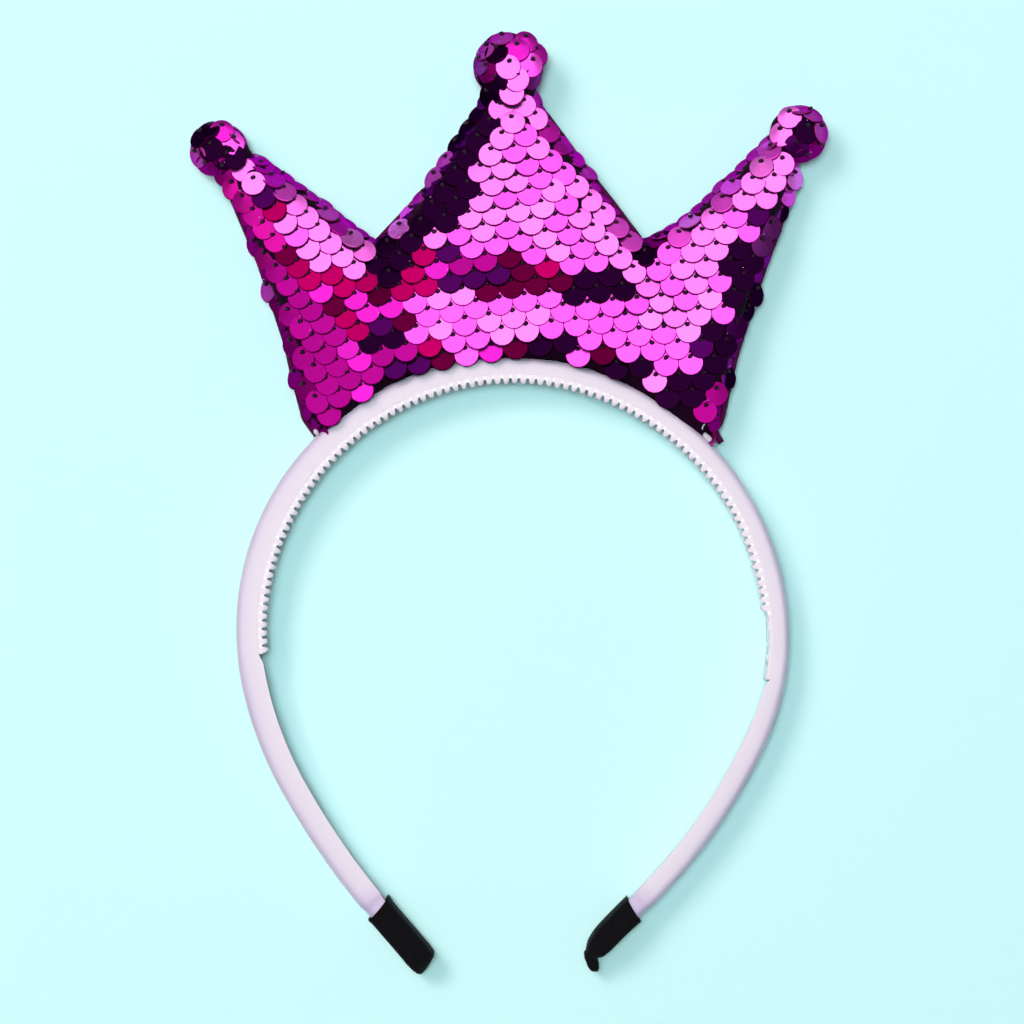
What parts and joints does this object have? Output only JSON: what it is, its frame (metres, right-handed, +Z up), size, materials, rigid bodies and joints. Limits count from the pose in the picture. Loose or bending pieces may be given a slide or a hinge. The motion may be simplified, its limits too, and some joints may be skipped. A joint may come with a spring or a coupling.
{
  "type": "crown headband",
  "caption": "Slim padded headband with an inner comb strip, ribbon end sleeves and a stuffed three-pointed crown covered in flip sequins.",
  "frame": {"origin": "on the table that the piece lies on, under the middle of its box", "axes": "+X across the band towards its right end, +Y from the band's open ends to the crown's middle point, +Z up from the table"},
  "size_m": [0.1363, 0.2017, 0.0152],
  "materials": {
    "band": "satin",
    "comb": "gloss",
    "ribbon": "ribbed",
    "crown": "sequined",
    "glue": "gloss"
  },
  "bodies": {
    "root": {"band": "band", "comb_strip": "comb", "sleeve_left": "ribbon", "sleeve_right": "ribbon", "crown": "crown", "glue_left": "glue", "glue_right": "glue"}
  },
  "joints": []
}
